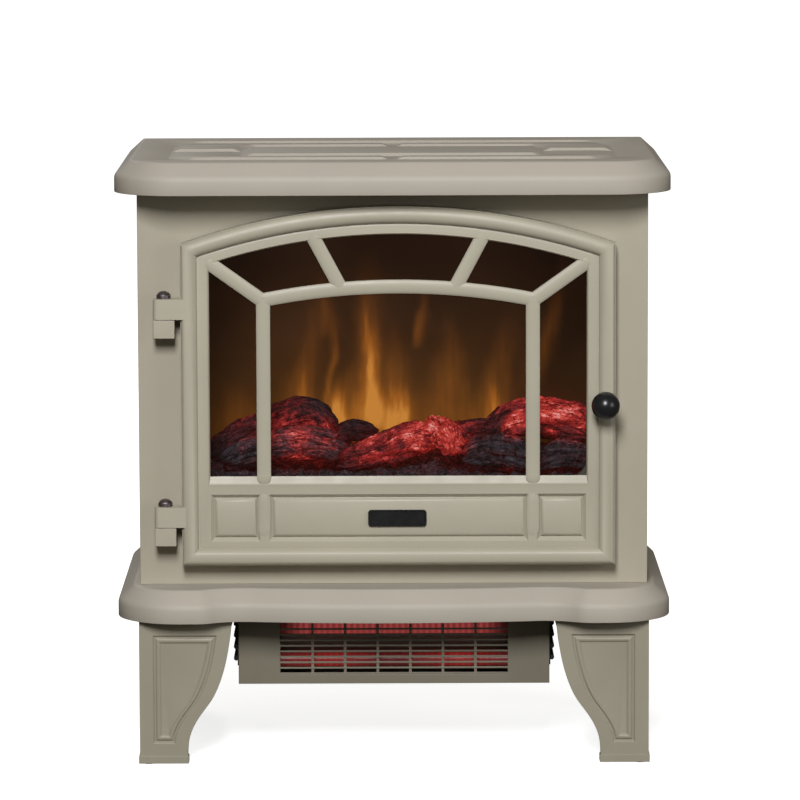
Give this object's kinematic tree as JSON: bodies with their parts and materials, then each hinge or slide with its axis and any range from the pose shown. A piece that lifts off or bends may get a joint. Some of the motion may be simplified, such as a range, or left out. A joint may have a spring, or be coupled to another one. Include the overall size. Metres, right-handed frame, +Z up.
{
  "type": "electric fireplace",
  "caption": "Free-standing electric stove fireplace with an arched glazed door, a lit log set, bracket legs and a quartz heater with a blower under the base.",
  "frame": {"origin": "centre of the footprint, on the floor under the legs", "axes": "+X to the right seen from the front, +Y from the door to the rear, +Z up"},
  "size_m": [0.52, 0.3233, 0.567],
  "materials": {
    "cabinet_paint": "satin warm grey powder coat",
    "door_paint": "satin warm grey powder coat",
    "leg_paint": "satin warm grey paint on a moulding",
    "heater_paint": "satin warm grey powder coat",
    "dark_sheet": "matt black heat-proof paint",
    "rear_sheet": "matt dark grey paint",
    "zinc_screw": "zinc plated",
    "black_oxide": "blackened steel",
    "black_gloss": "glossy black",
    "black_plastic": "matt black moulding",
    "glide_rubber": "matt",
    "window_glass": "smoked toughened glass",
    "flame_acrylic": "translucent smoked acrylic",
    "log_resin": "charred bark moulding",
    "ember_resin": "charred ember moulding",
    "circuit": "green solder mask",
    "foil": "bright foil",
    "bright_steel": "bright steel",
    "switch_red": "glossy red",
    "quartz_glow": "quartz tube with a lit coil",
    "ceramic": "unglazed white",
    "motor_can": "zinc plated can",
    "grille_paint": "satin warm grey powder coat"
  },
  "bodies": {
    "cabinet": {"top_slab": "cabinet_paint", "left_side_panel": "cabinet_paint", "right_side_panel": "cabinet_paint", "front_frame": "cabinet_paint", "rear_cover": "rear_sheet", "rear_cover_screws": "zinc_screw", "base_slab": "cabinet_paint", "base_plate": "dark_sheet", "leg_front_left": "leg_paint", "leg_front_right": "leg_paint", "leg_rear_left": "leg_paint", "leg_rear_right": "leg_paint", "leg_screws": "zinc_screw", "floor_glides": "glide_rubber", "upper_hinge_bracket": "cabinet_paint", "lower_hinge_bracket": "cabinet_paint", "upper_hinge_pin": "black_oxide", "lower_hinge_pin": "black_oxide", "firebox_shell": "dark_sheet", "flame_screen": "flame_acrylic", "ember_bed": "ember_resin", "log_left": "log_resin", "log_centre": "log_resin", "log_right": "log_resin", "log_split": "log_resin", "ember_lamp_board": "circuit", "flame_lamp_board": "circuit", "flicker_motor": "motor_can", "flicker_bushing": "black_plastic", "control_panel": "black_plastic", "switch_bezels": "black_plastic", "dial_controls": "bright_steel", "control_board": "circuit", "heater_housing": "heater_paint", "heater_grille": "grille_paint", "quartz_tubes": "quartz_glow", "tube_holders": "ceramic", "reflector": "bright_steel", "thermal_cutoff": "black_plastic", "side_vents": "black_plastic", "blower_motor": "motor_can", "blower_bushing": "black_plastic", "cord_gland": "black_plastic", "door_magnet": "black_plastic"},
    "door": {"door_frame": "door_paint", "window_grid": "door_paint", "door_glass": "window_glass", "glass_clips": "zinc_screw", "badge_plate": "black_gloss", "upper_hinge_arm": "door_paint", "lower_hinge_arm": "door_paint", "door_knob": "black_gloss", "door_fittings": "zinc_screw"},
    "flicker_rotor": {"flicker_rod": "bright_steel", "flicker_foils": "foil"},
    "blower_rotor": {"blower_wheel": "bright_steel"},
    "power_switch": {"power_rocker": "switch_red"},
    "heat_switch": {"heat_rocker": "switch_red"},
    "thermostat_knob": {"thermostat_dial": "black_plastic"},
    "flame_knob": {"flame_dial": "black_plastic"}
  },
  "joints": [
    {"name": "door_hinge", "type": "hinge", "parent": "cabinet", "child": "door", "pos_m": [-0.2137, -0.1225, 0.33], "axis": [0, 0, -1], "range_deg": [0, 110]},
    {"name": "flicker_spin", "type": "hinge", "parent": "cabinet", "child": "flicker_rotor", "pos_m": [0, 0.066, 0.2905], "axis": [1, 0, 0], "continuous": true},
    {"name": "blower_spin", "type": "hinge", "parent": "cabinet", "child": "blower_rotor", "pos_m": [0, 0.008, 0.10275], "axis": [1, 0, 0], "continuous": true},
    {"name": "power_rocker_tilt", "type": "hinge", "parent": "cabinet", "child": "power_switch", "pos_m": [-0.084, -0.097, 0.2225], "axis": [-1, 0, 0], "range_deg": [0, 14]},
    {"name": "heat_rocker_tilt", "type": "hinge", "parent": "cabinet", "child": "heat_switch", "pos_m": [-0.05, -0.097, 0.2225], "axis": [-1, 0, 0], "range_deg": [0, 14]},
    {"name": "thermostat_turn", "type": "hinge", "parent": "cabinet", "child": "thermostat_knob", "pos_m": [0.014, -0.1, 0.2225], "axis": [0, 1, 0], "range_deg": [0, 270]},
    {"name": "flame_dial_turn", "type": "hinge", "parent": "cabinet", "child": "flame_knob", "pos_m": [0.066, -0.1, 0.2225], "axis": [0, 1, 0], "range_deg": [0, 270]}
  ]
}
